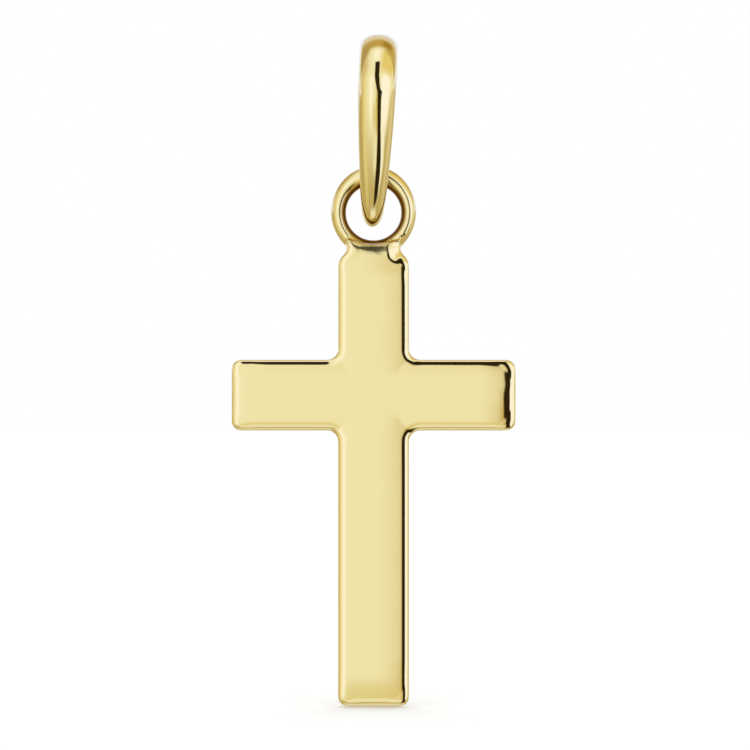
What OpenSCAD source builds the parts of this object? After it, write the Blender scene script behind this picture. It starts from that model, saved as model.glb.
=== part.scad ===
// Plain Latin cross pendant in polished gold, hung on a tapered bail.
// The origin is the inside top of the bail, where the chain bears.
// +Z is up, +X is to the right of someone facing the cross, and the front faces -Y.

/* [Cross] */
// Height of the cross from its neck to its foot
cross_h = 16; // [14:0.5:20]
// Width of the crossbar from end to end
cross_w = 10; // [8:0.5:12]
// Width of the upright and height of the crossbar
limb_w = 2.5; // [2.3:0.05:3]
// Length of upright between the neck and the top of the crossbar
upper_arm = 3.8; // [3:0.1:5]
// Thickness of the cross at its rim
plate_t = 1.2; // [1:0.05:1.6]
// How far the polished front stands up along the middle of each limb
front_crown = 0.06; // [0.02:0.01:0.1]
// Radius that polishing leaves along every edge
edge_r = 0.27; // [0.15:0.01:0.3]
// Corner radius of the crossbar's ends, seen from the front
end_r = 0.33; // [0.31:0.01:0.5]
// Corner radius of the foot, seen from the front
foot_r = 0.32; // [0.31:0.01:0.5]
// Radius in the four inner corners of the cross, seen from the front
crotch_r = 0.38; // [0.2:0.01:0.6]

/* [Neck] */
// Width of the neck at its narrowest, between the cross and its eyelet
neck_w = 1.88; // [1.6:0.02:2]
// Thickness of the neck at its narrowest
neck_t = 0.84; // [0.7:0.02:1]
// Distance from the eyelet's hole down to the narrowest of the neck
neck_drop = 0.41; // [0.35:0.01:0.5]
// Distance from the narrowest of the neck down to the shoulders of the cross
shoulder_drop = 0.18; // [0.12:0.01:0.25]
// How far the neck runs on down into the cross
neck_root = 0.6; // [0.5:0.05:0.8]
// Corner radius of the shoulders, seen from the front
shoulder_r = 0.36; // [0.31:0.01:0.5]

/* [Eyelet] */
// Diameter of the eyelet's round hole
eyelet_hole = 1.94; // [1.85:0.01:2.2]
// Width of the eyelet's wire at its two sides, seen from the front
eyelet_side = 0.54; // [0.45:0.01:0.65]
// Height of the eyelet's wire at its top, seen from the front
eyelet_top = 0.68; // [0.6:0.01:0.75]
// Height of the eyelet's wire at its bottom, where the neck takes it up
eyelet_base = 0.6; // [0.5:0.01:0.7]
// Thickness of the eyelet's wire from front to back
eyelet_t = 0.66; // [0.5:0.01:0.72]

/* [Bail] */
// Outer height of the bail
bail_h = 6.83; // [6:0.01:8]
// Outer depth of the bail from front to back, across its round top
bail_d = 4.2; // [4:0.05:5]
// Width of the bail at its top
bail_w = 1.35; // [1.1:0.01:1.6]
// Width of the bail at its bottom
bail_foot_w = 0.8; // [0.6:0.01:0.9]
// Thickness of the bail's metal over the chain and down its sides
bail_t = 0.85; // [0.7:0.01:0.95]
// Thickness of the bail's metal under the eyelet
bail_foot_t = 1.4; // [1.2:0.01:1.5]
// Outer radius of the bail's narrow bottom bend
bail_foot_r = 1.2; // [1.1:0.01:1.4]
// Lean of the bail as it hangs, in degrees about the front to back line
bail_lean = 2.2; // [0:0.1:4]
// Play between the eyelet's wire and the bottom of the bail
eyelet_play = 0.08; // [0.05:0.01:0.12]
// Room beside the eyelet's wire in the bail's inner bend
seat_play = 0.14; // [0.1:0.01:0.2]

/* [Hidden] */

gold = "#dcc873";

// How finely the curves are drawn
arc_steps = 6;
edge_steps = 5;
bail_section_points = 24;
bail_bend_steps = 20;
bail_side_steps = 6;
eyelet_stations = 44;
eyelet_section_points = 14;
neck_section_points = 28;

// Places in the bail, down from the chain's seat
bail_top = bail_t;
bail_round_z = bail_top - bail_d / 2;
bail_floor = bail_top - bail_h + bail_foot_t;
seat_r = eyelet_t / 2 + seat_play;

// The bail narrows with this power of the way down it
bail_narrowing = 2.2;
// Share of the bail's thickness that its domed outside takes, at its top and at its bottom
bail_dome_top = 0.5;
bail_dome_foot = 0.4;
// Roundness of the bail's inside, where 1 is a plain half round and less is squarer
bail_inside_roundness = 0.6;

// Places in the cross, from the centre of the eyelet's hole
hole_r = eyelet_hole / 2;
neck_z = -hole_r - neck_drop;
plate_top = neck_z - shoulder_drop;
bar_top = neck_z - upper_arm;
bar_bottom = bar_top - limb_w;
foot_z = neck_z - cross_h;

// Least corner radius where the outline is drawn far in from the edge
least_r = 0.05;
// How far the front's crown is drawn in from the edge, as shares of half a limb
crown_insets = [0.9, 0.76, 0.58, 0.4];

// Sections of the neck from top to bottom. Height above the waist is a share of neck_drop, and
// below it of neck_root. Width and thickness are shares of the way from the waist's own to the
// eyelet's above it and to the cross's below it.
neck_sections = [
  // height, width, thickness
  [1, 0.4, 1],
  [0.8, 0.36, 0.85],
  [0.5, 0.2, 0.5],
  [0.25, 0.07, 0.22],
  [0, 0, 0],
  [-0.12, 0.03, 0.12],
  [-0.24, 0.14, 0.42],
  [-0.38, 0.32, 0.7],
  [-0.6, 0.44, 0.86],
  [-1, 0.3, 0.6],
];
// Roundness of the neck's sections, where 1 is an ellipse and less is squarer
neck_roundness = 0.8;
// How far the neck's top stays inside the eyelet's wire
neck_tuck = 0.04;
// Roundness of the eyelet's outside, seen from the front
eyelet_roundness = 0.95;

function mix(a, b, share) = a + (b - a) * share;
function power_of(v, p) = sign(v) * pow(abs(v), p);
function steps(n) = [for (i = [0:n]) i / n];

// Walls of a solid through a list of rings that hold as many points each
function wall_faces(rings, points) = [
  for (i = [0:rings - 1], j = [0:points - 1])
    let (a = i * points, b = (i + 1) * points, k = (j + 1) % points)
    [a + j, b + j, b + k, a + k]
];

// A flat convex end, from its first point
function round_cap(n) = [for (j = [1:n - 2]) [0, j, j + 1]];

// A solid drawn through rings in turn. end_faces closes the first ring, and turned over the last.
module skin(rings, end_faces) {
  n = len(rings[0]);
  last = (len(rings) - 1) * n;
  far_end = [for (f = end_faces) [last + f[2], last + f[1], last + f[0]]];
  polyhedron(
    [for (r = rings) each r],
    concat(wall_faces(len(rings) - 1, n), end_faces, far_end),
    convexity = 6
  );
}

// A solid drawn through rings that come round to the first one again
module loop_skin(rings) {
  n = len(rings[0]);
  count = len(rings);
  faces = wall_faces(count, n);
  wrapped = [for (f = faces) [for (v = f) v % (count * n)]];
  polyhedron([for (r = rings) each r], wrapped, convexity = 6);
}

// Two bends of different radius joined by straight tangents, in the plane of depth and height.
// round_z is the centre of the upper bend and floor_z is the lowest point of the lower one.
function teardrop(round_r, round_z, bend_r, floor_z) =
  let (
    bend_z = floor_z + bend_r,
    tilt = asin((round_r - bend_r) / (round_z - bend_z)),
    arc = function (r, z, from, to) [for (s = steps(bail_bend_steps))
      let (q = mix(from, to, s)) [r * cos(q), z + r * sin(q)]],
    side = function (from, to) [for (i = [1:bail_side_steps - 1]) mix(from, to, i / bail_side_steps)],
    upper = arc(round_r, round_z, -tilt, 180 + tilt),
    lower = arc(bend_r, bend_z, 180 + tilt, 360 - tilt)
  )
  concat(
    upper,
    side(upper[bail_bend_steps], lower[0]),
    lower,
    side(lower[bail_bend_steps], upper[0])
  );

// One section of the bail, between a point of its outside and a point of its inside
function bail_section(outer, inner) =
  let (
    down = max(0, (bail_top - outer[1]) / bail_h),
    half_w = mix(bail_w, bail_foot_w, pow(down, bail_narrowing)) / 2,
    dome = mix(bail_dome_top, bail_dome_foot, down)
  )
  [for (i = [0:bail_section_points - 1])
    let (
      q = 360 * i / bail_section_points,
      outside = sin(q) >= 0,
      p = outside ? 1 : bail_inside_roundness,
      depth = outside ? dome * (1 - sin(q)) : mix(dome, 1, pow(-sin(q), p)),
      at = mix(outer, inner, depth)
    )
    [half_w * power_of(cos(q), p), at[0], at[1]]
  ];

// Tapered ring of half round metal that the chain passes through
module bail() {
  outside = teardrop(bail_d / 2, bail_round_z, bail_foot_r, bail_top - bail_h);
  inside = teardrop(bail_d / 2 - bail_t, bail_round_z, seat_r, bail_floor);
  color(gold)
    rotate([0, bail_lean, 0])
      loop_skin([for (i = [0:len(outside) - 1]) bail_section(outside[i], inside[i])]);
}

// Right half of the cross's outline from the top down, drawn in from the edge by an inset.
// Rows: corner x, corner z, which way up the inset moves it, first angle, sweep, corner radius.
function half_outline(inset) =
  let (
    corners = [
      [limb_w / 2, plate_top, -1, 90, -90, shoulder_r],
      [limb_w / 2, bar_top, -1, 180, 90, crotch_r],
      [cross_w / 2, bar_top, -1, 90, -90, end_r],
      [cross_w / 2, bar_bottom, 1, 0, -90, end_r],
      [limb_w / 2, bar_bottom, 1, 90, 90, crotch_r],
      [limb_w / 2, foot_z, 1, 0, -90, foot_r],
    ]
  )
  [for (c = corners, s = steps(arc_steps))
    let (
      outward = -sign(c[4]),
      r = max(c[5] - outward * inset, least_r),
      x = c[0] - inset - outward * r,
      z = c[1] + c[2] * (inset + outward * r),
      q = c[3] + c[4] * s
    )
    [x + r * cos(q), z + r * sin(q)]
  ];

// The whole outline at one depth, as a ring
function plate_ring(inset, y) =
  let (right = half_outline(inset), n = len(right))
  concat(
    [for (p = right) [p[0], y, p[1]]],
    [for (i = [n - 1:-1:0]) [-right[i][0], y, right[i][1]]]
  );

// Triangles across the outline, in strips between like points of its right and left halves.
// The strip under the crossbar's level top also takes in that top, and likewise at its bottom.
function plate_cap() =
  let (
    right = half_outline(0),
    n = len(right),
    left = function (i) 2 * n - 1 - i,
    level = function (i) i >= 0 && i < n - 1 && abs(right[i][1] - right[i + 1][1]) < least_r / 10,
    widens = function (i) level(i) && right[i + 1][0] > right[i][0],
    narrows = function (i) level(i) && right[i + 1][0] < right[i][0]
  )
  [for (i = [0:n - 2]) if (!level(i))
    let (
      above = widens(i - 1) ? [left(i), left(i - 1), i - 1, i] : [left(i), i],
      below = narrows(i + 1) ? [i + 1, i + 2, left(i + 2), left(i + 1)] : [i + 1, left(i + 1)]
    )
    each concat(
      [for (k = [0:len(above) - 2]) [left(i + 1), above[k], above[k + 1]]],
      [for (k = [0:len(below) - 2]) [i, below[k], below[k + 1]]]
    )
  ];

// Flat bar cross with rounded edges, a plain back and a slightly crowned front
module plate() {
  flat = plate_t / 2 - edge_r;
  half_limb = limb_w / 2;
  rim = [for (s = steps(edge_steps)) [edge_r * (1 - sin(90 * s)), flat + edge_r * cos(90 * s)]];
  rise = function (inset) front_crown * (1 - pow(1 - inset / half_limb, 2));
  crown = [for (s = crown_insets) [s * half_limb, -plate_t / 2 - rise(s * half_limb)]];
  front = [for (l = rim) [l[0], -l[1] - rise(l[0])]];
  back = [for (i = [edge_steps:-1:0]) rim[i]];
  skin([for (l = concat(crown, front, back)) plate_ring(l[0], l[1])], plate_cap());
}

// One section of the neck
function neck_ring(row) =
  let (
    up = row[0] >= 0,
    z = neck_z + row[0] * (up ? neck_drop : neck_root),
    half_w = mix(neck_w / 2, up ? hole_r + eyelet_side : limb_w / 2, row[1]),
    half_t = mix(neck_t / 2, up ? eyelet_t / 2 - neck_tuck : plate_t / 2, row[2])
  )
  [for (i = [0:neck_section_points - 1])
    let (q = -360 * i / neck_section_points)
    [half_w * power_of(cos(q), neck_roundness), half_t * power_of(sin(q), neck_roundness), z]
  ];

// Waist of solder and metal between the eyelet and the shoulders, open where the hole is
module neck() {
  difference() {
    skin([for (row = neck_sections) neck_ring(row)], round_cap(neck_section_points));
    rotate([90, 0, 0])
      cylinder(h = 2 * plate_t, r = hole_r + eyelet_base / 2, center = true, $fn = 64);
  }
}

// Ring of round wire whose hole is a true circle and whose outside is a little taller than wide
module eyelet() {
  outer_w = hole_r + eyelet_side;
  outer_h = hole_r + (eyelet_top + eyelet_base) / 2;
  rise = (eyelet_top - eyelet_base) / 2;
  loop_skin([for (i = [0:eyelet_stations - 1])
    let (
      a = 360 * i / eyelet_stations,
      inner = [hole_r * cos(a), hole_r * sin(a)],
      across = power_of(cos(a), eyelet_roundness),
      up = power_of(sin(a), eyelet_roundness),
      outer = [outer_w * across, rise + outer_h * up]
    )
    [for (j = [0:eyelet_section_points - 1])
      let (q = 360 * j / eyelet_section_points, at = mix(inner, outer, (1 + cos(q)) / 2))
      [at[0], eyelet_t / 2 * sin(q), at[1]]
    ]
  ]);
}

// The cross with its eyelet, soldered up as one piece and hung in the bottom of the bail
module cross() {
  seat_x = bail_floor * sin(bail_lean);
  seat_z = bail_floor * cos(bail_lean);
  color(gold)
    translate([seat_x, 0, seat_z + eyelet_play - hole_r]) {
      plate();
      neck();
      eyelet();
    }
}

bail();
cross();
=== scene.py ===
# %% [markdown]
# # A polished gold cross pendant, made by hand in Blender
# The object is a plain Latin cross cast in yellow gold, with a waisted neck and a round eyelet at its
# top, hanging in a tapered bail of half round metal. Both pieces are mirror polished, so nearly all that
# the eye sees is the room around them. That decides how this lesson goes: clean, evenly curved meshes
# first, then a plain gold, and most of the care in the soft light that the gold reflects.
#
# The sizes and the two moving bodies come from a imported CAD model, which is loaded first.

# %% Load the CAD model
import math

import bmesh
import bpy
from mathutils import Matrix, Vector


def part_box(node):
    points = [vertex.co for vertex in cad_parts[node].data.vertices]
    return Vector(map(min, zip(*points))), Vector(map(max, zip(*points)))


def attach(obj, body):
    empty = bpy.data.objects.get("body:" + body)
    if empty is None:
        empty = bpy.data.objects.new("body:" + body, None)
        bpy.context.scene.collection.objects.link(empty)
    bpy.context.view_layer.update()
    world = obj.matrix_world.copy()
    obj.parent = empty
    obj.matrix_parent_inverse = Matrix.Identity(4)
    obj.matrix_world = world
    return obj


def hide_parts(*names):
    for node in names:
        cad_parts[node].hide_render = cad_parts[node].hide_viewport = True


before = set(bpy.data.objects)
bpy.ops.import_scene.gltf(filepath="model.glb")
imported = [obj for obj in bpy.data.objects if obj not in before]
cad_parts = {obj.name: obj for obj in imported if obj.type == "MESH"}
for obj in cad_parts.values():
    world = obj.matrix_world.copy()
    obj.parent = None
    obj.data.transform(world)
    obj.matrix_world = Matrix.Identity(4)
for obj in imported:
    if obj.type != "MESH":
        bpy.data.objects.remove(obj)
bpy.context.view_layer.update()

# %% [markdown]
# ## Working a thousand times larger
# Several of Blender's tools have a smallest distance of a tenth of a millimetre built in, which is as
# wide as a whole polished edge here. So each piece is modelled with one Blender unit to the millimetre
# and brought down to metres at the very end, with its place already in its mesh.

# %% Units and the sizes read from the CAD model
METRE = 1.0
MM = METRE / 1000


def box_in_mm(node):
    """Lowest and highest corner of a CAD node, in millimetres."""
    low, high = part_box(node)
    return low / MM, high / MM


cross_low, cross_high = box_in_mm("cross")
bail_low, bail_high = box_in_mm("bail")
centre_x = (cross_low.x + cross_high.x) / 2
cross_w = cross_high.x - cross_low.x
foot_z = cross_low.z
print(f"cross {cross_w:.2f} mm wide, foot at {foot_z:.3f} mm, centre line at {centre_x:.3f} mm")
print(f"bail {bail_high.z - bail_low.z:.2f} mm tall")

# %% [markdown]
# ## Hands: choosing, editing and finishing
# Operators work on whatever is selected, so each step first says in plain code which points, edges or
# faces it means, by where they are. These few helpers are all that the modelling needs.


# %% Helpers for modelling
MERGE_WITHIN = 0.0005


def start_piece(name):
    """Names the newest object, puts its place into its mesh and opens it with nothing selected."""
    piece = bpy.context.object
    piece.name = piece.data.name = name
    bpy.ops.object.transform_apply(location=True, rotation=True, scale=True)
    bpy.ops.object.mode_set(mode="EDIT")
    bpy.ops.mesh.select_mode(type="VERT")
    bpy.ops.mesh.select_all(action="DESELECT")
    return piece


def pick(kind, wanted):
    """Selects only the points, edges or faces whose middle passes the test. Returns how many."""
    bpy.ops.mesh.select_mode(type=kind)
    bpy.ops.mesh.select_all(action="DESELECT")
    data = bpy.context.object.data
    mesh = bmesh.from_edit_mesh(data)
    chosen = 0
    for part in {"VERT": mesh.verts, "EDGE": mesh.edges, "FACE": mesh.faces}[kind]:
        points = [part] if kind == "VERT" else list(part.verts)
        middle = sum((v.co for v in points), points[0].co * 0) / len(points)
        if not part.hide and wanted(middle):
            part.select_set(True)
            chosen += 1
    mesh.select_flush_mode()
    bmesh.update_edit_mesh(data)
    return chosen


def finish_piece(piece, smooth_below_deg):
    """Leaves edit mode, turns all faces outwards, shades the piece smooth and brings it down to metres."""
    bpy.ops.mesh.reveal(select=False)
    bpy.ops.mesh.select_all(action="SELECT")
    bpy.ops.mesh.remove_doubles(threshold=MERGE_WITHIN)
    bpy.ops.mesh.normals_make_consistent(inside=False)
    bpy.ops.object.mode_set(mode="OBJECT")
    bpy.ops.object.shade_smooth_by_angle(angle=math.radians(smooth_below_deg))
    piece.scale = (MM, MM, MM)
    bpy.ops.object.transform_apply(location=False, rotation=False, scale=True)
    size = piece.dimensions / MM
    print(f"{piece.name}: {len(piece.data.polygons)} faces, {size.x:.2f} x {size.y:.2f} x {size.z:.2f} mm")
    return piece


def close_to(a, b, reach=0.01):
    """True where two lengths in millimetres are the same but for rounding."""
    return abs(a - b) < reach


# %% [markdown]
# ## The bail: a tapered ring of half round metal
# On the real pendant the bail is half round wire, domed outside and nearly flat inside, wide where the
# chain runs over its top and narrow where it passes through the eyelet. A goldsmith bends it round a
# pear-shaped mandrel. It could be a curve with a bevel, but a curve tapers evenly in both directions,
# and this wire gets narrower and thicker at once. So one section is drawn and carried round the ring by
# hand: extrude, move, turn and scale, station after station, until the end meets the start.
#
# Two things were learned from the way the real one shines. Its sides aren't straight but slack arcs, so
# the dark line runs on from the bend into the side. And its section is rolled a few degrees to the right
# in front, which puts that line beside the middle.

# %% Sizes of the bail, in millimetres
BAIL_TOP_W = 1.35
BAIL_FOOT_W = 0.8
BAIL_T = 0.85
BAIL_FOOT_T = 1.4
BAIL_D = 4.2
BAIL_H = 6.83
BAIL_FOOT_R = 1.2
BAIL_SIDE_R = 10.0
BAIL_LEAN_DEG = 2.2
BAIL_NARROWING = 2.2
SEAT_R = 0.47
DOME_ROUND = 1.0
INNER_CORNER = 0.55
SECTION_MERGE = 0.001
BAIL_ROLL_DEG = 8.5
BAIL_REST_ROLL_DEG = 3.0
ROLL_Z = -1.5
ROLL_REACH_UP = 1.9
ROLL_REACH_DOWN = 2.2
ROLL_FADE = 0.6

UPPER_BEND_STEPS = 44
SIDE_STEPS = 20
LOWER_BEND_STEPS = 34
DOME_SEGMENTS = 14
CORNER_SEGMENTS = 7


def teardrop(round_r, round_z, bend_r, floor_z, side_r):
    """Points (y, z) of two bends joined by two slack side arcs, from the front round over the top."""
    bend_z = floor_z + bend_r
    # The side arc lies inside neither bend: its centre is side_r away less each bend's own radius.
    gap_top = side_r - round_r
    gap_foot = side_r - bend_r
    apart = round_z - bend_z
    rise = (gap_foot**2 - gap_top**2 + apart**2) / (2 * apart)
    side_y = math.sqrt(gap_foot**2 - rise**2)
    side_z = bend_z + rise
    first = math.asin((side_z - round_z) / gap_top)
    last = math.asin(rise / gap_foot)

    def arc(radius, y, z, start, end, count):
        turns = [start + (end - start) * i / count for i in range(count + 1)]
        return [(y - radius * math.cos(q), z + radius * math.sin(q)) for q in turns]

    over_top = arc(round_r, 0, round_z, -first, math.pi + first, UPPER_BEND_STEPS)
    down_back = arc(side_r, -side_y, side_z, math.pi + first, math.pi + last, SIDE_STEPS)
    under_foot = arc(bend_r, 0, bend_z, math.pi + last, 2 * math.pi - last, LOWER_BEND_STEPS)
    up_front = arc(side_r, side_y, side_z, 2 * math.pi - last, 2 * math.pi - first, SIDE_STEPS)
    return over_top + down_back[1:-1] + under_foot + up_front[1:-1]


def soft_hump(share):
    """1 at a share of 0, falling smoothly to 0 at a share of 1 and beyond."""
    return (1 + math.cos(math.pi * min(1.0, share))) / 2


def roll_at(z):
    """How far the wire is rolled to the right at a height, in degrees, as it came off the mandrel."""
    if z > ROLL_Z:
        return BAIL_ROLL_DEG * soft_hump((z - ROLL_Z) / ROLL_REACH_UP)
    more = (BAIL_ROLL_DEG - BAIL_REST_ROLL_DEG) * soft_hump((ROLL_Z - z) / ROLL_REACH_DOWN)
    from_tip = (z - (BAIL_T - BAIL_H)) / ROLL_FADE
    return (BAIL_REST_ROLL_DEG + more) * (1 - soft_hump(from_tip))


def bail_stations():
    """For each section of the bail: its middle, its facing, its half width, half thickness and roll."""
    round_z = BAIL_T - BAIL_D / 2
    outside = teardrop(BAIL_D / 2, round_z, BAIL_FOOT_R, BAIL_T - BAIL_H, BAIL_SIDE_R)
    inside = teardrop(
        BAIL_D / 2 - BAIL_T, round_z, SEAT_R, BAIL_T - BAIL_H + BAIL_FOOT_T, BAIL_SIDE_R - BAIL_T
    )
    stations = []
    for out, inner in zip(outside, inside):
        down = max(0.0, (BAIL_T - out[1]) / BAIL_H)
        width = BAIL_TOP_W + (BAIL_FOOT_W - BAIL_TOP_W) * down**BAIL_NARROWING
        across = (out[0] - inner[0], out[1] - inner[1])
        stations.append({
            "middle": (0.0, (out[0] + inner[0]) / 2, (out[1] + inner[1]) / 2),
            "facing": math.atan2(across[1], -across[0]),
            "half_w": width / 2,
            "half_t": math.hypot(*across) / 2,
            "roll": roll_at(out[1]) if out[0] < 0 else 0.0,
        })
    return stations


stations = bail_stations()
print(f"bail: {len(stations)} sections, {2 * stations[0]['half_t']:.2f} mm thick at the front")

# %% Draw one half round section of the bail
bpy.ops.object.select_all(action="DESELECT")
bpy.ops.mesh.primitive_plane_add(size=2, rotation=(math.pi / 2, 0, 0))
bail = start_piece("bail_ring")
for is_outer, round_off, segments in (
    (True, DOME_ROUND, DOME_SEGMENTS),
    (False, INNER_CORNER, CORNER_SEGMENTS),
):
    pick("VERT", lambda p: (p.z > 0) == is_outer and close_to(abs(p.x), 1) and close_to(abs(p.z), 1))
    bpy.ops.mesh.bevel(
        affect="VERTICES", offset=round_off, segments=segments, clamp_overlap=False
    )
bpy.ops.mesh.select_all(action="SELECT")
bpy.ops.mesh.remove_doubles(threshold=SECTION_MERGE)
bpy.ops.mesh.delete(type="ONLY_FACE")
bpy.ops.mesh.select_all(action="SELECT")
print("section of", len(bmesh.from_edit_mesh(bail.data).verts), "points")


# %% Carry the section round the ring
def carry_section(here, there):
    """Moves, turns and scales the selected section from one station to the next."""
    move = [b - a for a, b in zip(here["middle"], there["middle"])]
    bpy.ops.transform.translate(value=move)
    # The roll comes off before the turn and goes on again after the stretch, because turns about two
    # axes don't add up, and a stretch across a rolled section would skew it. From the front up to the
    # top is a left-handed turn about X, and with no window the rotate tool turns left-handed too, so
    # the value is the plain difference.
    roll_off = math.radians(here["roll"])
    bpy.ops.transform.rotate(value=roll_off, orient_axis="Z", center_override=there["middle"])
    turn = there["facing"] - here["facing"]
    bpy.ops.transform.rotate(value=turn, orient_axis="X", center_override=there["middle"])
    wider = there["half_w"] / here["half_w"]
    thicker = there["half_t"] / here["half_t"]
    bpy.ops.transform.resize(value=(wider, thicker, thicker), center_override=there["middle"])
    roll_on = math.radians(there["roll"])
    bpy.ops.transform.rotate(value=-roll_on, orient_axis="Z", center_override=there["middle"])


as_drawn = {"middle": (0.0, 0.0, 0.0), "facing": math.pi / 2, "half_w": 1.0, "half_t": 1.0, "roll": 0.0}
carry_section(as_drawn, stations[0])
for here, there in zip(stations, stations[1:] + stations[:1]):
    bpy.ops.mesh.extrude_region_move(TRANSFORM_OT_translate={"value": (0, 0, 0)})
    carry_section(here, there)

# %% Let the bail lean, as it hangs, and close it
bpy.ops.mesh.select_all(action="SELECT")
bpy.ops.transform.rotate(
    value=-math.radians(BAIL_LEAN_DEG), orient_axis="Y", center_override=(0, 0, 0)
)
finish_piece(bail, smooth_below_deg=60)

# %% [markdown]
# ## The cross: one outline, rounded on every edge
# The real cross is stamped or cast as a flat bar 1.2 mm thick, filed round along its edges and polished
# until the front is faintly crowned. Modelling it from a cube and bevelling the edges gives a
# dead flat front, and a mirror shows that at once. Here the outline is drawn first and its corners are
# rounded as seen from the front. Then the edge is built by repeated insets that follow two arcs: a tight
# one at the rim, and a slack one inside it, where the polishing wheel has dragged the front down a little.
# That slack arc is what draws the thin dark line inside the rim, and its radius sets how wide the line is.

# %% Sizes of the cross, in millimetres
CROSS_H = 16.0
LIMB_W = 2.5
UPPER_ARM = 3.8
PLATE_T = 1.2
END_R = 0.33
FOOT_R = 0.32
CROTCH_R = 0.38
CORNER_STEPS = 8

NECK_W = 1.88
NECK_RISE = 0.28
SADDLE_R = 2.2
SADDLE_DROP = 1.13
SADDLE_CHAMFER = 0.26
CHAMFER_DEG = 18
CHAMFER_OFF = 0.25
SHOULDER_R = 0.45
WAIST_R = 0.38

EYELET_HOLE_R = 0.97
EYELET_TOP = 0.68
EYELET_SIDE = 0.54
EYELET_BASE = 0.6
EYELET_T = 0.66

half_limb = LIMB_W / 2
hole_z = cross_high.z - EYELET_HOLE_R - EYELET_TOP
neck_z = foot_z + CROSS_H
shoulder_z = neck_z - NECK_RISE
bar_top = neck_z - UPPER_ARM
bar_bottom = bar_top - LIMB_W
bar_z = (bar_top + bar_bottom) / 2
print(f"hole centre at {hole_z:.3f}, neck at {neck_z:.3f}, crossbar at {bar_z:.3f} mm")

# %% Draw the outline by pulling edges out of one square
bpy.ops.object.select_all(action="DESELECT")
bpy.ops.mesh.primitive_plane_add(
    size=LIMB_W, location=(centre_x, 0, bar_z), rotation=(math.pi / 2, 0, 0)
)
cross = start_piece("cross_body")


def pull_edge(side_x, side_z, by, widen=1.0):
    """Selects the outermost edge on one side of the outline, pulls it out and may widen it."""
    mesh = bmesh.from_edit_mesh(cross.data)
    reach = max(side_x * v.co.x + side_z * v.co.z for v in mesh.verts)

    def is_end(p):
        off_middle = side_z * (p.x - centre_x) + side_x * (p.z - bar_z)
        return close_to(side_x * p.x + side_z * p.z, reach) and close_to(off_middle, 0)

    pick("EDGE", is_end)
    bpy.ops.mesh.extrude_region_move(TRANSFORM_OT_translate={"value": (side_x * by, 0, side_z * by)})
    bpy.ops.transform.resize(value=(widen, 1, 1), center_override=(centre_x, 0, 0))


pull_edge(1, 0, (cross_w - LIMB_W) / 2)
pull_edge(-1, 0, (cross_w - LIMB_W) / 2)
pull_edge(0, -1, bar_bottom - foot_z)
pull_edge(0, 1, shoulder_z - bar_top)
pull_edge(0, 1, NECK_RISE, widen=NECK_W / LIMB_W)
pull_edge(0, 1, hole_z - neck_z)
pick("FACE", lambda p: True)
bpy.ops.mesh.dissolve_faces()
print("outline of", len(bmesh.from_edit_mesh(cross.data).verts), "corners")


# %% Round the outline's corners, as seen from the front
def round_corners(x, z, radius, turn_deg=90):
    """Rounds the two mirror corners at a distance x from the centre line and at a height z."""
    offset = radius * math.tan(math.radians(turn_deg) / 2)
    pick("VERT", lambda p: close_to(abs(p.x - centre_x), x) and close_to(p.z, z))
    bpy.ops.mesh.bevel(
        affect="VERTICES", offset=offset, segments=CORNER_STEPS, clamp_overlap=False
    )


shoulder_slope = math.degrees(math.atan2(half_limb - NECK_W / 2, NECK_RISE))
round_corners(cross_w / 2, bar_top, END_R)
round_corners(cross_w / 2, bar_bottom, END_R)
round_corners(half_limb, bar_top, CROTCH_R)
round_corners(half_limb, bar_bottom, CROTCH_R)
round_corners(half_limb, foot_z, FOOT_R)
round_corners(half_limb, shoulder_z, SHOULDER_R, turn_deg=shoulder_slope)
round_corners(NECK_W / 2, neck_z, WAIST_R, turn_deg=shoulder_slope)
print("rounded outline of", len(bmesh.from_edit_mesh(cross.data).verts), "points")

# %% Give it thickness, then build the rounded edge inset by inset
EDGE_R = 0.12
ROLL_R = 0.8
ROLL_DEG = 13
EDGE_STEPS = 9
ROLL_STEPS = 5

roll = math.radians(ROLL_DEG)
edge_drop = EDGE_R * math.cos(roll) + ROLL_R * (1 - math.cos(roll))
bpy.ops.mesh.select_all(action="SELECT")
bpy.ops.transform.translate(value=(0, edge_drop - PLATE_T / 2, 0))
bpy.ops.mesh.extrude_region_move(TRANSFORM_OT_translate={"value": (0, PLATE_T - 2 * edge_drop, 0)})
bpy.ops.mesh.select_all(action="SELECT")
bpy.ops.mesh.normals_make_consistent(inside=False)


def inset_along_arc(radius, first, last, steps):
    """Insets the selected face along an arc, whose angles count from facing sideways to facing out."""
    for i in range(steps):
        a = first + (last - first) * i / steps
        b = first + (last - first) * (i + 1) / steps
        bpy.ops.mesh.inset(
            thickness=radius * (math.cos(a) - math.cos(b)),
            depth=radius * (math.sin(b) - math.sin(a)),
            use_even_offset=True,
        )


for side_y in (-1, 1):
    pick("FACE", lambda p: close_to(p.y, side_y * (PLATE_T / 2 - edge_drop), 0.001))
    inset_along_arc(EDGE_R, 0, math.pi / 2 - roll, EDGE_STEPS)
    inset_along_arc(ROLL_R, math.pi / 2 - roll, math.pi / 2, ROLL_STEPS)
bpy.ops.object.mode_set(mode="OBJECT")
print("cross so far:", len(cross.data.polygons), "faces")

# %% [markdown]
# ## A hollow for the eyelet
# Before the eyelet is soldered on, the top of the neck is filed to its round, so that the two meet
# without a gap, and the front edge of the hollow is broken with a chamfer. Both are clean cuts, for which
# a Boolean with a round cutter is the plainest tool. The chamfer's cutter stands a little to the right,
# as the file did, so its left part turns to the slit of the light tent and goes dark.

# %% Hollow the top of the neck to the round of the eyelet
HOLLOW_STEPS = 192


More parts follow.
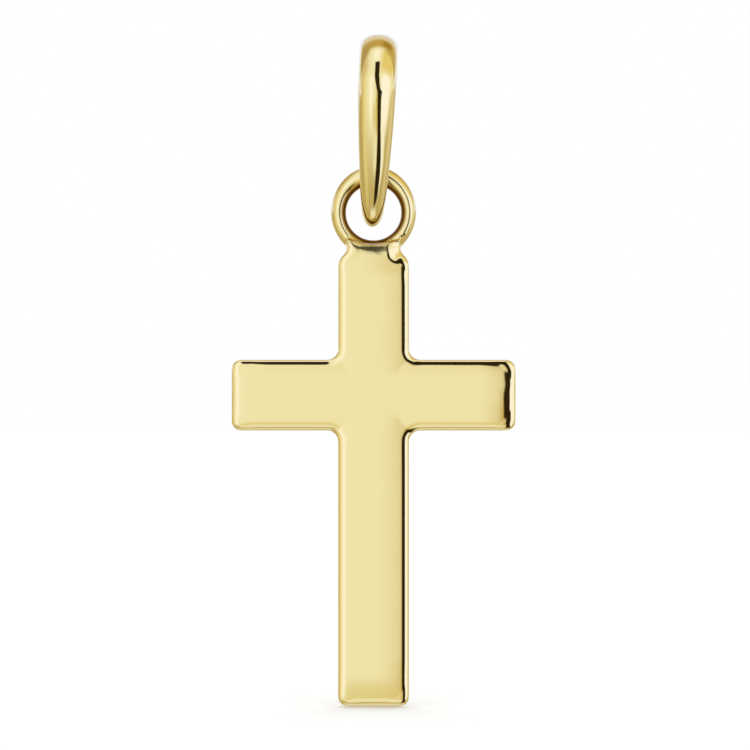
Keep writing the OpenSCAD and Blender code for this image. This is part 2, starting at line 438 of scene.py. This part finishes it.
def cut_from_front(piece, name, across, back_r, front_r, back_y, front_y):
    """Takes a round hollow out of a piece, like a countersink whose radius may grow towards the front."""
    bpy.ops.object.select_all(action="DESELECT")
    bpy.ops.mesh.primitive_cone_add(
        vertices=HOLLOW_STEPS,
        radius1=back_r,
        radius2=front_r,
        depth=back_y - front_y,
        location=(across, (back_y + front_y) / 2, hole_z - SADDLE_DROP + SADDLE_R),
        rotation=(math.pi / 2, 0, 0),
    )
    cutter = bpy.context.object
    cut = piece.modifiers.new(name, "BOOLEAN")
    cut.operation = "DIFFERENCE"
    cut.solver = "MANIFOLD"
    cut.object = cutter
    bpy.context.view_layer.objects.active = piece
    bpy.ops.object.modifier_apply(modifier=cut.name)
    bpy.data.objects.remove(cutter)
    print(name, "leaves", len(piece.data.polygons), "faces")


chamfer_slope = math.tan(math.radians(CHAMFER_DEG))
chamfer_y = SADDLE_CHAMFER * chamfer_slope - PLATE_T / 2
beyond_y = -PLATE_T
widest_r = SADDLE_R + (chamfer_y - beyond_y) / chamfer_slope
chamfer_x = centre_x + CHAMFER_OFF
cut_from_front(cross, "saddle", centre_x, SADDLE_R, SADDLE_R, PLATE_T, beyond_y)
cut_from_front(cross, "saddle chamfer", chamfer_x, SADDLE_R, widest_r, chamfer_y, beyond_y)

# %% [markdown]
# ## The eyelet, soldered on
# The eyelet is a ring of wire that is a little wider than thick and heaviest at its top, where the bail
# wears on it. A torus is stretched ring by ring to that section. Joining it with a Boolean, too, would
# leave a knife sharp seam, but on the real piece solder fills the corner. So the two bodies are simply
# laid into each other and remeshed as one skin, and a little smoothing then draws it into a fillet.

# %% Model the eyelet from a torus, ring by ring
EYELET_ROUND_STEPS = 128
EYELET_WIRE_STEPS = 36
bpy.ops.object.select_all(action="DESELECT")
bpy.ops.mesh.primitive_torus_add(
    major_segments=EYELET_ROUND_STEPS,
    minor_segments=EYELET_WIRE_STEPS,
    major_radius=EYELET_HOLE_R + EYELET_SIDE / 2,
    minor_radius=EYELET_SIDE / 2,
    rotation=(math.pi / 2, 0, 0),
)
eyelet = start_piece("eyelet_wire")
bpy.ops.mesh.select_all(action="SELECT")
bpy.ops.transform.resize(value=(1, EYELET_T / EYELET_SIDE, 1), center_override=(0, 0, 0))
outer_w = EYELET_HOLE_R + EYELET_SIDE
outer_h = EYELET_HOLE_R + (EYELET_TOP + EYELET_BASE) / 2
for ring in range(EYELET_WIRE_STEPS):
    # Each ring of points lies at one distance from the hole, so it can be stretched by itself.
    share = (1 + math.cos(2 * math.pi * ring / EYELET_WIRE_STEPS)) / 2
    taller = (EYELET_HOLE_R + (outer_h - EYELET_HOLE_R) * share) / (
        EYELET_HOLE_R + (outer_w - EYELET_HOLE_R) * share
    )
    bpy.ops.mesh.select_all(action="DESELECT")
    mesh = bmesh.from_edit_mesh(eyelet.data)
    for v in mesh.verts:
        v.select_set(v.index % EYELET_WIRE_STEPS == ring)
    bmesh.update_edit_mesh(eyelet.data)
    bpy.ops.transform.resize(value=(1, 1, taller), center_override=(0, 0, 0))
    bpy.ops.transform.translate(value=(0, 0, share * (EYELET_TOP - EYELET_BASE) / 2))
bpy.ops.mesh.select_all(action="SELECT")
bpy.ops.transform.translate(value=(centre_x, 0, hole_z))
bpy.ops.mesh.normals_make_consistent(inside=False)
bpy.ops.object.mode_set(mode="OBJECT")

# %% Make one skin of both
SKIN_MM = 0.05
SKIN_SMOOTHING = 6
# The skin's points lie on a grid, so a little over half a step always reaches the nearest row.
HALF_GRID = SKIN_MM * 0.51
bpy.ops.object.select_all(action="DESELECT")
eyelet.select_set(True)
cross.select_set(True)
bpy.context.view_layer.objects.active = cross
bpy.ops.object.join()
skin = cross.modifiers.new("one skin", "REMESH")
skin.mode = "VOXEL"
skin.voxel_size = SKIN_MM
bpy.ops.object.modifier_apply(modifier=skin.name)
bpy.ops.object.mode_set(mode="EDIT")
bpy.ops.mesh.select_all(action="SELECT")
bpy.ops.mesh.vertices_smooth(factor=0.5, repeat=SKIN_SMOOTHING)
print("one skin of", len(bmesh.from_edit_mesh(cross.data).faces), "faces")

# %% Draw the solder out into a fillet
FILLET_SMOOTHING = 7
FILLET_MARGIN = 0.1
fillet_low = neck_z - FILLET_MARGIN
fillet_high = hole_z - EYELET_HOLE_R - FILLET_MARGIN
pick("VERT", lambda p: fillet_low < p.z < fillet_high)
bpy.ops.mesh.vertices_smooth(factor=0.5, repeat=FILLET_SMOOTHING)

# %% [markdown]
# ## A faint crown on the front
# Polishing on a soft wheel takes a little more off near the edges, so the front stands a few hundredths
# of a millimetre proud along the middle of each limb. The middle lines are moved forward with
# proportional editing: its inverse square falloff is a parabola, which is just how such a crown runs out
# to the edge. Where the two crowns meet, smoothing forwards and back alone takes away the crease.
# The points behind are hidden first, because proportional editing would move them as well.

# %% Crown the front
FRONT_CROWN = 0.035
FLAT_WITHIN = 0.004
FRONT_EDGE = 0.001
CROSSING_SMOOTHING = 120


def on_spine(p):
    """True on the middle lines of the upright and of the crossbar."""
    upright = close_to(p.x, centre_x, HALF_GRID) and foot_z + half_limb < p.z < neck_z - half_limb
    bar = close_to(p.z, bar_z, HALF_GRID) and abs(p.x - centre_x) < cross_w / 2 - half_limb
    return upright or bar


pick("VERT", lambda p: p.y > 0)
bpy.ops.mesh.hide(unselected=False)
spine_points = pick("VERT", lambda p: close_to(p.y, -PLATE_T / 2, FLAT_WITHIN) and on_spine(p))
bpy.ops.transform.translate(
    value=(0, -FRONT_CROWN, 0),
    use_proportional_edit=True,
    proportional_edit_falloff="INVERSE_SQUARE",
    proportional_size=half_limb,
)
print("crowned along", spine_points, "points")


# %% Smooth the crossing, where the two crowns meet
def on_crossing(p):
    """True on the front, in a circle as wide as a limb round the middle of the crossing."""
    from_middle = math.hypot(p.x - centre_x, p.z - bar_z)
    return p.y < -PLATE_T / 2 + FRONT_EDGE and from_middle < LIMB_W / 2


smoothed = pick("VERT", on_crossing)
bpy.ops.mesh.vertices_smooth(
    factor=0.5, repeat=CROSSING_SMOOTHING, xaxis=False, yaxis=True, zaxis=False
)
print("crossing smoothed at", smoothed, "points")

# %% [markdown]
# ## Marks of the hand
# A hand finished piece isn't even. The file has taken the right shoulder of the neck down to clear the
# solder, and the wheel has dragged the foot and the right end of the crossbar down further than the rest.
# This could be painted on as bump, but a mirror shows true shape best, so each mark is pressed into the
# mesh: a few points are moved back, and proportional editing lets the front follow.

# %% Press the marks into the front
MARKS = [  # name, middle x and z, half length along x and z, depth, reach, falloff
    ("filed shoulder on the right", centre_x + 1.0, neck_z + 0.1, 0.06, 0.1, 0.13, 0.46, "SMOOTH"),
    ("top of the neck", centre_x, neck_z, 0.5, 0.05, 0.02, 1.2, "SHARP"),
    ("right end of the crossbar", centre_x + cross_w / 2, bar_z, 0.0, 1.2, 0.018, 0.45, "SMOOTH"),
    ("its lower half", centre_x + cross_w / 2, bar_z - 0.65, 0.0, 0.55, 0.018, 0.6, "SMOOTH"),
    ("end of the foot", centre_x, foot_z, half_limb, 0.05, 0.05, 1.6, "SHARP"),
]
for name, x, z, half_x, half_z, depth, reach, falloff in MARKS:

    def in_mark(p):
        in_width = abs(p.x - x) < half_x + HALF_GRID
        in_height = abs(p.z - z) < half_z + HALF_GRID
        return in_width and in_height and p.y < -PLATE_T / 4

    moved = pick("VERT", in_mark)
    bpy.ops.transform.translate(
        value=(0, depth, 0),
        use_proportional_edit=True,
        proportional_edit_falloff=falloff,
        proportional_size=reach,
    )
    print(name, "pressed at", moved, "points")
finish_piece(cross, smooth_below_deg=60)

# %% [markdown]
# ## The gold
# Yellow gold of about 14 carat, mirror polished on a felt wheel with rouge. A metal has no colour of its
# own beyond the tint it gives to reflections, so the finish is one pale tint, a very low roughness, and
# two faint traces of the hand: a slow waviness left by the wheel, and hairlines too fine to see except
# as a slight softness. The felt can't get into the eyelet's hole, so there the gold stays softer. On the
# hole's inner wall the tint turns brown, which is painted shade.


# %% A helper that adds one node
# A colour Mix takes its factor at input 0 and its two colours at 6 and 7, and gives the result at output 2.
def linear(hex_colour):
    """Turns an sRGB hex colour into linear red, green, blue and alpha."""
    parts = [int(hex_colour[i:i + 2], 16) / 255 for i in (1, 3, 5)]
    return [c / 12.92 if c <= 0.04045 else ((c + 0.055) / 1.055) ** 2.4 for c in parts] + [1.0]


def add_node(tree, kind, settings=None, inputs=None):
    """Adds a node, sets its properties, and fills its inputs with values or with links from other nodes."""
    made = tree.nodes.new(kind)
    for name, value in (settings or {}).items():
        setattr(made, name, value)
    for name, value in (inputs or {}).items():
        if isinstance(value, bpy.types.NodeSocket):
            tree.links.new(value, made.inputs[name])
        else:
            made.inputs[name].default_value = value
    return made


# %% Polished gold
POLISHED_GOLD = "#f5e1a2"
# The brown below is painted shade for the inner wall of the eyelet's hole.
EYELET_WALL_SHADE = "#8a6630"
WHEEL_WAVES_MM = 1.6
WAVE_HEIGHT_MM = 0.004
HAIRLINE_MM = 0.05
MIRROR_SOFTNESS = (0.04, 0.09)
WALL_FROM_MM = 1.03
WALL_TO_MM = 1.22
EYELET_SOFTNESS = 0.1
EYELET_FADE_MM = 0.2
EYELET_TO_MM = 1.62


def polished_gold(name, has_eyelet=False):
    """Mirror polished pale yellow gold, which stays softer in an eyelet, with brown painted shade on the
    eyelet's inner wall.
    """
    material = bpy.data.materials.new(name)
    material.use_nodes = True
    tree = material.node_tree
    tree.nodes.clear()
    where = add_node(tree, "ShaderNodeTexCoord").outputs["Object"]
    waves = add_node(
        tree,
        "ShaderNodeTexNoise",
        inputs={"Vector": where, "Scale": 1 / (WHEEL_WAVES_MM * MM), "Detail": 1.0},
    )
    bump = add_node(
        tree,
        "ShaderNodeBump",
        inputs={"Height": waves.outputs["Fac"], "Strength": 1.0, "Distance": WAVE_HEIGHT_MM * MM},
    )
    hairlines = add_node(
        tree,
        "ShaderNodeTexNoise",
        inputs={"Vector": where, "Scale": 1 / (HAIRLINE_MM * MM), "Detail": 2.0},
    )
    softness = add_node(
        tree,
        "ShaderNodeMapRange",
        inputs={
            "Value": hairlines.outputs["Fac"],
            "To Min": MIRROR_SOFTNESS[0],
            "To Max": MIRROR_SOFTNESS[1],
        },
    ).outputs["Result"]
    colour = linear(POLISHED_GOLD)
    if has_eyelet:
        centred = add_node(
            tree,
            "ShaderNodeMapping",
            inputs={"Vector": where, "Location": (-centre_x * MM, 0, -hole_z * MM), "Scale": (1, 0, 1)},
        )
        from_hole = add_node(
            tree, "ShaderNodeVectorMath", {"operation": "LENGTH"}, {0: centred.outputs[0]}
        ).outputs["Value"]

        def fading(start_mm, end_mm, amount):
            inputs = {"Value": from_hole, "From Min": start_mm * MM, "From Max": end_mm * MM}
            inputs.update({"To Min": amount, "To Max": 0.0})
            smooth = {"interpolation_type": "SMOOTHSTEP"}
            return add_node(tree, "ShaderNodeMapRange", smooth, inputs).outputs[0]

        softer = fading(EYELET_TO_MM - EYELET_FADE_MM, EYELET_TO_MM, EYELET_SOFTNESS)
        softness = add_node(tree, "ShaderNodeMath", inputs={0: softness, 1: softer}).outputs[0]
        # Painted shade: the tint turns brown on the inner wall of the eyelet's hole, near its centre.
        painted_wall_shade = fading(WALL_FROM_MM, WALL_TO_MM, 1.0)
        colour = add_node(
            tree, "ShaderNodeMix", {"data_type": "RGBA"}, {0: painted_wall_shade, 6: colour, 7: linear(EYELET_WALL_SHADE)}
        ).outputs[2]
    gold = add_node(
        tree,
        "ShaderNodeBsdfPrincipled",
        inputs={
            "Base Color": colour,
            "Metallic": 1.0,
            "Roughness": softness,
            "Normal": bump.outputs["Normal"],
        },
    )
    add_node(tree, "ShaderNodeOutputMaterial", inputs={"Surface": gold.outputs["BSDF"]})
    return material


for piece, made_of in (
    (bail, polished_gold("polished gold")),
    (cross, polished_gold("polished gold, softer in the eyelet", has_eyelet=True)),
):
    piece.data.materials.clear()
    piece.data.materials.append(made_of)

# %% Let the pieces move with the CAD bodies
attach(bail, "bail")
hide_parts("bail")
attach(cross, "cross")
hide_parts("cross")

# %% [markdown]
# ## The studio
# A jeweller photographs polished gold in a tent of white cloth, so that the metal has something pale to
# reflect, and leaves a slit for the lens. The slit shows as the thin dark line down the bail and along
# the right-hand edges, and it is what makes the gold read as metal. The pendant stands just over a sheet
# of matt white paper, which the gold doesn't mirror. The camera looks straight at it from 300 mm, with a
# long lens, so that its outline keeps its true proportions.

# %% Camera
FRAME_W = 26.44  # what the picture's width shows, in millimetres
TARGET_X = -0.126
TARGET_Z = -11.19
DISTANCE = 300.0
SENSOR = 36.0
CLIP = (0.01, 10)
bpy.ops.object.camera_add(
    location=(TARGET_X * MM, -DISTANCE * MM, TARGET_Z * MM), rotation=(math.pi / 2, 0, 0)
)
camera = bpy.context.object
camera.data.sensor_width = SENSOR
camera.data.lens = SENSOR * DISTANCE / FRAME_W
camera.data.clip_start = CLIP[0]
camera.data.clip_end = CLIP[1]
bpy.context.scene.camera = camera

# %% Floor
FLOOR_GAP = 0.05
FLOOR_SIZE = 3 * METRE
PAPER_WHITE = "#fdfdfd"
bpy.ops.mesh.primitive_plane_add(size=FLOOR_SIZE, location=(0, 0, (foot_z - FLOOR_GAP) * MM))
floor = bpy.context.object
floor.name = "floor"
floor.visible_glossy = False
paper = bpy.data.materials.new("white paper")
paper.use_nodes = True
matt = paper.node_tree.nodes["Principled BSDF"]
matt.inputs["Base Color"].default_value = linear(PAPER_WHITE)
matt.inputs["Roughness"].default_value = 1.0
matt.inputs["Specular IOR Level"].default_value = 0.0
floor.data.materials.append(paper)

# %% [markdown]
# ## The light tent, panel by panel
# The tent is painted on the world's sky by direction. Two angles say where a panel is as the pendant
# sees it: the side angle, from -90 at the far left to 90 at the far right, and the pitch, 0 straight
# ahead, 90 overhead, 180 behind and -90 below. A panel is given the tone that gold shows when it
# mirrors it, because that is what the eye can judge, and its light is that tone over gold's own tint.
# Area lamps and white cards could stand in for the cloth, but each would need its own place in the room,
# while two angles put a panel at once where a rounded edge will find it.

# %% The panels of the tent
# Each row: name, tone in the gold, side angles, pitch angles, softness of both, lean of the side angle
# for each degree of pitch, all in degrees. Later panels hang in front of earlier ones. What no panel
# covers is plain cloth.
CLOTH = "#bca35a"
ALL_ROUND = (-200, 200)
PANELS = [
    ("cream cloth in front", "#f0e3a8", ALL_ROUND, (-29, 130), (1, 46), 0.0),
    ("pale cloth under the front", "#eadca4", (-20, 24), (-120, -58), (20, 24), 0.0),
    ("tan cloth under the back", "#d0c08c", (-30, 30), (228, 300), (30, 20), 0.0),
    ("gold cloth, far right and low", "#d8c17a", (72, 140), (-100, -30), (30, 30), 0.0),
    ("gold cloth, far right behind", "#dbc585", (60, 140), (180, 280), (30, 30), 0.0),
    ("yellow cloth on the left", "#e6d07e", (-140, -46), (-70, 70), (44, 40), 0.0),
    ("amber cloth, upper left", "#d6b871", (-90, -32), (54, 98), (26, 34), 0.0),
    ("amber cloth on the left", "#d2ab64", (-140, -70), (-70, 60), (30, 30), 0.0),
    ("soft light left of the slit", "#fff2c8", (-26, -10), (-16, 34), (16, 16), 0.0),
    ("bright cloth on the right", "#fff3cf", (24, 66), (-26, 36), (16, 18), 0.0),
    ("bright cloth, lower right", "#f7ecbe", (30, 52), (-54, -20), (12, 10), -0.2),
    ("gold cloth, upper right", "#e4c66b", (15, 66), (44, 100), (16, 26), 0.0),
    ("olive cloth overhead, right", "#c2a455", (21, 80), (89, 132), (20, 14), 0.0),
    ("deep gold bar overhead", "#bf9b46", (-50, 44), (99, 127), (20, 14), 0.0),
    ("bronze in its middle", "#a07a2a", (10, 34), (104, 124), (16, 16), 0.0),
    ("bronze cloth overhead, left", "#b0924f", (-66, -24), (91, 138), (20, 20), 0.0),
    ("tan cloth behind, above", "#dcc89a", (-26, 30), (132, 152), (30, 14), 0.0),
    ("pale cloth far behind", "#efe6c4", ALL_ROUND, (150, 178), (1, 16), 0.0),
    ("cream cloth straight behind", "#e6d595", (-32, 32), (176, 196), (30, 20), 0.0),
    ("lamp overhead", "#fcefc4", (-12, 6), (64, 91), (12, 12), 0.0),
    ("dusk beside the slit", "#d4be7c", (5, 20), (-34, 10), (9, 8), 0.0),
    ("gold cloth above the middle", "#dcc47e", (2, 16), (4.5, 12), (10, 4), 0.0),
    ("gold cloth low in front", "#e0cc82", (-10, 24), (-18, -8), (18, 8), 0.0),
    ("pale cloth low in front", "#ecdfa4", (-6, 10), (-36, -19), (8, 8), 0.0),
    ("deep gold, low on the right", "#caa84c", (7, 24), (-20, -2.2), (14, 2.4), 0.0),
]


def light_for(tone):
    """The light that gold turns into this tone."""
    return [t / g for t, g in zip(linear(tone), linear(POLISHED_GOLD))]


def math_of(tree, operation, *values):
    """The result of a Math node, whose inputs are given in their order."""
    return add_node(tree, "ShaderNodeMath", {"operation": operation}, dict(enumerate(values))).outputs[0]


def step_down(tree, value, at, soft):
    """1 below a value, 0 above it, with a smooth step of the given width between."""
    low = math_of(tree, "SUBTRACT", at, soft / 2)
    high = math_of(tree, "ADD", at, soft / 2)
    inputs = {"Value": value, "From Min": low, "From Max": high, "To Min": 1.0, "To Max": 0.0}
    return add_node(tree, "ShaderNodeMapRange", {"interpolation_type": "SMOOTHSTEP"}, inputs).outputs[0]


def hang(tree, light, tone, cover):
    """Hangs a tone in front of the light so far, where cover is 1, and returns the new light."""
    inputs = {0: cover, 6: light, 7: light_for(tone)}
    return add_node(tree, "ShaderNodeMix", {"data_type": "RGBA"}, inputs).outputs[2]


def panel_cover(tree, side, pitch, sides, pitches, softness, lean):
    """1 inside a panel, 0 outside it, soft along its edges."""
    leaned = math_of(tree, "MULTIPLY_ADD", pitch, -lean, lean * sum(pitches) / 2)
    straight = math_of(tree, "ADD", side, leaned)
    covers = []
    for angle, ends, soft in ((straight, sides, softness[0]), (pitch, pitches, softness[1])):
        off_middle = math_of(tree, "SUBTRACT", angle, sum(ends) / 2)
        away = math_of(tree, "ABSOLUTE", off_middle)
        covers.append(step_down(tree, away, (ends[1] - ends[0]) / 2, soft))
    return math_of(tree, "MULTIPLY", *covers)


# %% The two angles of a direction
world = bpy.data.worlds.new("light tent")
bpy.context.scene.world = world
world.use_nodes = True
tent = world.node_tree
tent.nodes.clear()
direction = add_node(tent, "ShaderNodeTexCoord")
axes = add_node(tent, "ShaderNodeSeparateXYZ", inputs={"Vector": direction.outputs["Generated"]})
side_angle = math_of(tent, "ARCSINE", axes.outputs["X"])
to_front = math_of(tent, "MULTIPLY", axes.outputs["Y"], -1.0)
pitch_angle = math_of(tent, "ARCTAN2", axes.outputs["Z"], to_front)
side_deg = math_of(tent, "DEGREES", side_angle)
# Counting the pitch from straight down keeps the place where the angle jumps out of the pendant's sight.
PITCH_LOWEST = -90.0
PITCH_HIGHEST = 270.0
pitch_deg = math_of(tent, "WRAP", math_of(tent, "DEGREES", pitch_angle), PITCH_HIGHEST, PITCH_LOWEST)

# %% Hang the panels
cloth = add_node(tent, "ShaderNodeRGB")
cloth.outputs[0].default_value = light_for(CLOTH)
tent_light = cloth.outputs[0]
for name, tone, sides, pitches, softness, lean in PANELS:
    cover = panel_cover(tent, side_deg, pitch_deg, sides, pitches, softness, lean)
    tent_light = hang(tent, tent_light, tone, cover)
print("hung", len(PANELS), "panels")

# %% [markdown]
# ## The slit for the lens
# The flaps of the tent don't close evenly, so the slit wanders: high up it is straight ahead, and level
# with the pendant and below it opens to the right. A straight dark panel would show as a line that breaks
# where the bail turns from its bend into its side. So each edge of the slit is a curve over the pitch, as
# it would be drawn in the curve editor.

# %% Leave the slit open
SLIT_TONE = "#2a1e06"
SLIT_SOFT = 3.0
SLIT_PITCH = (-53, 62)
SLIT_EDGES = [  # pitch, left edge, right edge
    (-55, 4, 32),
    (-45, 7, 39),
    (-35, 12, 36),
    (-20, 13, 28),
    (-6, 11.5, 27),
    (-1, 11, 30),
    (1, 10, 29),
    (4, 8, 24),
    (6, 7, 22),
    (9, 5.5, 20),
    (12, 4, 19),
    (17, 1.5, 17),
    (24, -2, 15),
    (34, -5, 12),
    (62, -6, 9),
]
CURVE_PITCH = (-60, 70)
CURVE_SIDE = (-20, 60)


def share_of(value, ends):
    """Where a value lies between two ends, as a share from 0 to 1."""
    return (value - ends[0]) / (ends[1] - ends[0])


def slit_edge(tree, pitch, column):
    """The side angle of one edge of the slit at each pitch."""
    inputs = {"Value": pitch, "From Min": CURVE_PITCH[0], "From Max": CURVE_PITCH[1]}
    height = add_node(tree, "ShaderNodeMapRange", inputs=inputs).outputs[0]
    drawn = add_node(tree, "ShaderNodeFloatCurve", inputs={"Value": height})
    points = drawn.mapping.curves[0].points
    for row in SLIT_EDGES:
        points.new(share_of(row[0], CURVE_PITCH), share_of(row[column], CURVE_SIDE))
    points[0].location = (0, share_of(SLIT_EDGES[0][column], CURVE_SIDE))
    points[-1].location = (1, share_of(SLIT_EDGES[-1][column], CURVE_SIDE))
    for point in points:
        point.handle_type = "VECTOR"
    drawn.mapping.update()
    inputs = {"Value": drawn.outputs[0], "To Min": CURVE_SIDE[0], "To Max": CURVE_SIDE[1]}
    return add_node(tree, "ShaderNodeMapRange", inputs=inputs).outputs[0]


past_left = step_down(tent, side_deg, slit_edge(tent, pitch_deg, 1), SLIT_SOFT)
before_right = step_down(tent, side_deg, slit_edge(tent, pitch_deg, 2), SLIT_SOFT)
between = math_of(tent, "SUBTRACT", before_right, past_left)
above = step_down(tent, pitch_deg, SLIT_PITCH[0], SLIT_SOFT)
below = step_down(tent, pitch_deg, SLIT_PITCH[1], SLIT_SOFT)
at_height = math_of(tent, "SUBTRACT", below, above)
tent_light = hang(tent, tent_light, SLIT_TONE, math_of(tent, "MULTIPLY", between, at_height))
print("slit drawn through", len(SLIT_EDGES), "points")

# %% Light the floor and the backdrop with plain white
# Only what the gold mirrors is the painted tent. The eye sees white on all sides, so the floor runs into
# the backdrop without a line. The floor is lit by white cloth that is brighter low in front and behind,
# which draws the soft shadow out in depth, where the camera, low over the floor, can see it.
FLOOR_LIGHT = 0.62
FLOOR_LOW_LIGHT = 3.05
BRIGHT_FROM = 0.55
BRIGHT_TO = 0.85
in_depth = math_of(tent, "ABSOLUTE", axes.outputs["Y"])
on_floor = add_node(
    tent,
    "ShaderNodeMapRange",
    {"interpolation_type": "SMOOTHSTEP"},
    {
        "Value": in_depth,
        "From Min": BRIGHT_FROM,
        "From Max": BRIGHT_TO,
        "To Min": FLOOR_LIGHT,
        "To Max": FLOOR_LOW_LIGHT,
    },
)
ray = add_node(tent, "ShaderNodeLightPath")
white = (1.0, 1.0, 1.0, 1.0)
eye_or_floor = add_node(
    tent,
    "ShaderNodeMix",
    {"data_type": "RGBA"},
    {0: ray.outputs["Is Camera Ray"], 6: on_floor.outputs[0], 7: white},
)
seen = add_node(
    tent,
    "ShaderNodeMix",
    {"data_type": "RGBA"},
    {0: ray.outputs["Is Glossy Ray"], 6: eye_or_floor.outputs[2], 7: tent_light},
)
world.cycles.sampling_method = "NONE"
sky = add_node(tent, "ShaderNodeBackground", inputs={"Color": seen.outputs[2], "Strength": 1.0})
add_node(tent, "ShaderNodeOutputWorld", inputs={"Surface": sky.outputs["Background"]})
bpy.context.scene.view_settings.view_transform = "Standard"
